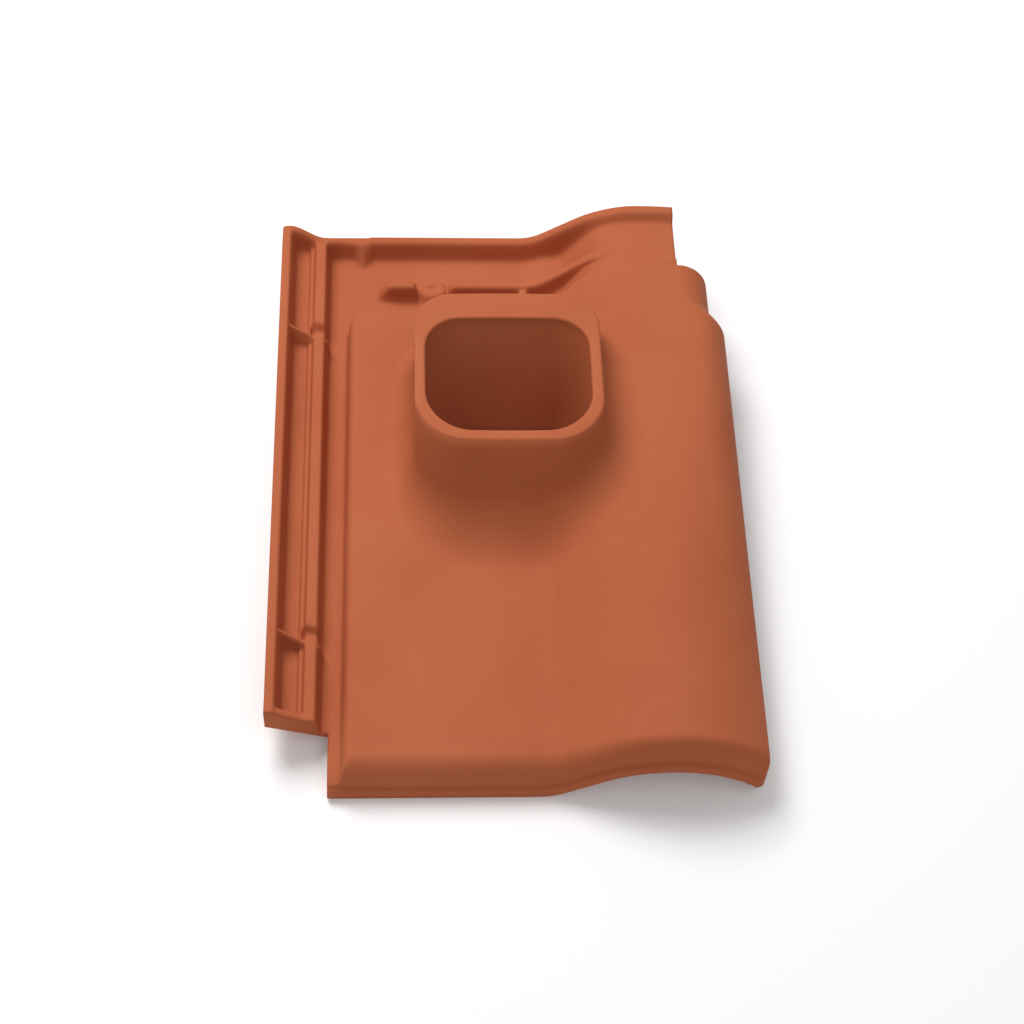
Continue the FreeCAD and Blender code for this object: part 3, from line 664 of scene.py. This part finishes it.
def clay_material(look):
    """Matte fired clay: cloudy tone, fine grain and a slightly rough skin."""
    material = bpy.data.materials.new("fired_clay")
    material.use_nodes = True
    nodes, links = material.node_tree.nodes, material.node_tree.links
    shader = nodes["Principled BSDF"]
    place = nodes.new("ShaderNodeTexCoord")
    clouds = nodes.new("ShaderNodeTexNoise")
    clouds.inputs["Scale"].default_value = 14.0
    clouds.inputs["Detail"].default_value = 5.0
    grain = nodes.new("ShaderNodeTexNoise")
    grain.inputs["Scale"].default_value = 900.0
    grain.inputs["Detail"].default_value = 3.0
    tone = nodes.new("ShaderNodeMix")
    tone.data_type = "RGBA"
    tone.inputs["A"].default_value = (*look.body, 1.0)
    tone.inputs["B"].default_value = (*look.dark, 1.0)
    spread = nodes.new("ShaderNodeMapRange")
    spread.inputs["From Min"].default_value = 0.35
    spread.inputs["From Max"].default_value = 0.75
    bump = nodes.new("ShaderNodeBump")
    bump.inputs["Strength"].default_value = 0.12
    bump.inputs["Distance"].default_value = 0.0004
    links.new(place.outputs["Object"], clouds.inputs["Vector"])
    links.new(place.outputs["Object"], grain.inputs["Vector"])
    links.new(clouds.outputs["Fac"], spread.inputs["Value"])
    links.new(spread.outputs["Result"], tone.inputs["Factor"])
    links.new(tone.outputs["Result"], shader.inputs["Base Color"])
    links.new(grain.outputs["Fac"], bump.inputs["Height"])
    links.new(bump.outputs["Normal"], shader.inputs["Normal"])
    shader.inputs["Roughness"].default_value = look.roughness
    shader.inputs["Specular IOR Level"].default_value = 0.12
    return material


# ---------------------------------------------------------------- studio

CAMERA_PLACE = (69.46, -464.13, 958.14)
CAMERA_DOWN = math.radians(56.079)
CAMERA_YAW = math.radians(5.599)
CAMERA_ROLL = math.radians(4.589)
CAMERA_LENS = 72.12


def to_floor(tile_sizes):
    """Matrix from the tile's own frame, in metres, to the floor it lies on."""
    tile = Tile(tile_sizes)
    low = CAD_BOX[0]
    turn = Matrix.Rotation(tile.tilt, 4, "X")
    tail_y = -36.0 * MM * math.sin(tile.tilt)
    shift = Matrix.Translation((low[0], low[1] - tail_y, 0.0))
    return shift @ turn


def add_camera(sizes):
    """Camera above and in front of the tail, a little to the left of the tile."""
    data = bpy.data.cameras.new("camera")
    data.lens = CAMERA_LENS
    data.sensor_width = 36.0
    camera = bpy.data.objects.new("camera", data)
    bpy.context.scene.collection.objects.link(camera)
    level = math.cos(CAMERA_DOWN)
    forward = Vector((math.sin(CAMERA_YAW) * level, math.cos(CAMERA_YAW) * level, -math.sin(CAMERA_DOWN)))
    right = forward.cross(Vector((0, 0, 1))).normalized()
    up = right.cross(forward)
    turned_right = right * math.cos(CAMERA_ROLL) + up * math.sin(CAMERA_ROLL)
    turned_up = up * math.cos(CAMERA_ROLL) - right * math.sin(CAMERA_ROLL)
    frame_matrix = Matrix((turned_right, turned_up, -forward)).transposed().to_4x4()
    place = Matrix.Translation(Vector(CAMERA_PLACE) * MM)
    camera.matrix_world = to_floor(sizes) @ place @ frame_matrix
    bpy.context.scene.camera = camera


def area_light(name, place, target, size, power):
    """A square soft light aimed at a point."""
    data = bpy.data.lights.new(name, "AREA")
    data.size = size
    data.energy = power
    light = bpy.data.objects.new(name, data)
    light.location = place
    aim = Vector(target) - Vector(place)
    light.rotation_euler = aim.to_track_quat("-Z", "Y").to_euler()
    bpy.context.scene.collection.objects.link(light)


def floor_material():
    """White floor that shows as plain white to the camera and still takes the tile's shadow."""
    material = bpy.data.materials.new("studio_floor")
    material.use_nodes = True
    nodes, links = material.node_tree.nodes, material.node_tree.links
    shader = nodes["Principled BSDF"]
    shader.inputs["Base Color"].default_value = (0.9, 0.9, 0.9, 1.0)
    shader.inputs["Roughness"].default_value = 1.0
    shader.inputs["Emission Color"].default_value = (1.0, 1.0, 1.0, 1.0)
    path = nodes.new("ShaderNodeLightPath")
    glow = nodes.new("ShaderNodeMath")
    glow.operation = "MULTIPLY"
    glow.inputs[1].default_value = 0.10
    seen = nodes.new("ShaderNodeMath")
    seen.operation = "MAXIMUM"
    links.new(path.outputs["Is Camera Ray"], seen.inputs[0])
    links.new(path.outputs["Is Glossy Ray"], seen.inputs[1])
    links.new(seen.outputs["Value"], glow.inputs[0])
    links.new(glow.outputs["Value"], shader.inputs["Emission Strength"])
    return material


def add_stage(sizes):
    """Floor, backdrop light and lamps."""
    data = bpy.data.meshes.new("studio_floor")
    reach = 6.0
    corners = [(-reach, -reach, 0), (reach, -reach, 0), (reach, reach, 0), (-reach, reach, 0)]
    data.from_pydata(corners, [], [(0, 1, 2, 3)])
    floor = bpy.data.objects.new("studio_floor", data)
    floor.data.materials.append(floor_material())
    bpy.context.scene.collection.objects.link(floor)
    world = bpy.data.worlds.new("studio")
    bpy.context.scene.world = world
    world.use_nodes = True
    world.node_tree.nodes["Background"].inputs["Color"].default_value = (1.0, 1.0, 1.0, 1.0)
    world.node_tree.nodes["Background"].inputs["Strength"].default_value = 0.36
    area_light("key", (-0.50, 0.66, 1.35), (0.0, 0.0, 0.0), 0.8, 21.0)
    area_light("fill", (0.6, -0.9, 1.6), (0.0, 0.0, 0.0), 1.2, 4.8)
    add_camera(sizes)
    bpy.context.scene.view_settings.view_transform = "Standard"


# ---------------------------------------------------------------- operators and panel

class TILE_OT_build(bpy.types.Operator):
    """Build the fired clay tile"""

    bl_idname = "tile.build"
    bl_label = "Build Tile"

    def execute(self, context):
        sizes, look = settings()
        piece = tile_object(sizes)
        piece.data.materials.append(clay_material(look))
        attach(piece, "root")
        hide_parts("roof_tile")
        return {"FINISHED"}


class TILE_OT_stage(bpy.types.Operator):
    """Build the studio: floor, lamps and camera"""

    bl_idname = "tile.stage"
    bl_label = "Build Studio"

    def execute(self, context):
        add_stage(settings()[0])
        return {"FINISHED"}


class TILE_PT_panel(bpy.types.Panel):
    """Sizes, clay and buttons"""

    bl_idname = "TILE_PT_panel"
    bl_label = "Roof Tile"
    bl_space_type = "VIEW_3D"
    bl_region_type = "UI"
    bl_category = "Roof Tile"

    def draw(self, context):
        sizes, look = settings()
        for group in (sizes, look):
            for name in group.bl_rna.properties.keys():
                if name not in ("rna_type", "name"):
                    self.layout.prop(group, name)
        self.layout.operator(TILE_OT_build.bl_idname)
        self.layout.operator(TILE_OT_stage.bl_idname)


CLASSES = (TileSizes, ClayLook, TILE_OT_build, TILE_OT_stage, TILE_PT_panel)


def register():
    """Adds the classes and the scene's property groups."""
    for kind in CLASSES:
        bpy.utils.register_class(kind)
    bpy.types.Scene.tile_sizes = bpy.props.PointerProperty(type=TileSizes)
    bpy.types.Scene.tile_clay = bpy.props.PointerProperty(type=ClayLook)


def unregister():
    """Takes away what register added."""
    del bpy.types.Scene.tile_clay
    del bpy.types.Scene.tile_sizes
    for kind in reversed(CLASSES):
        bpy.utils.unregister_class(kind)


def main():
    register()
    for step in (bpy.ops.tile.build, bpy.ops.tile.stage):
        if step() != {"FINISHED"}:
            raise RuntimeError("a piece was not built")


if __name__ == "__main__":
    main()
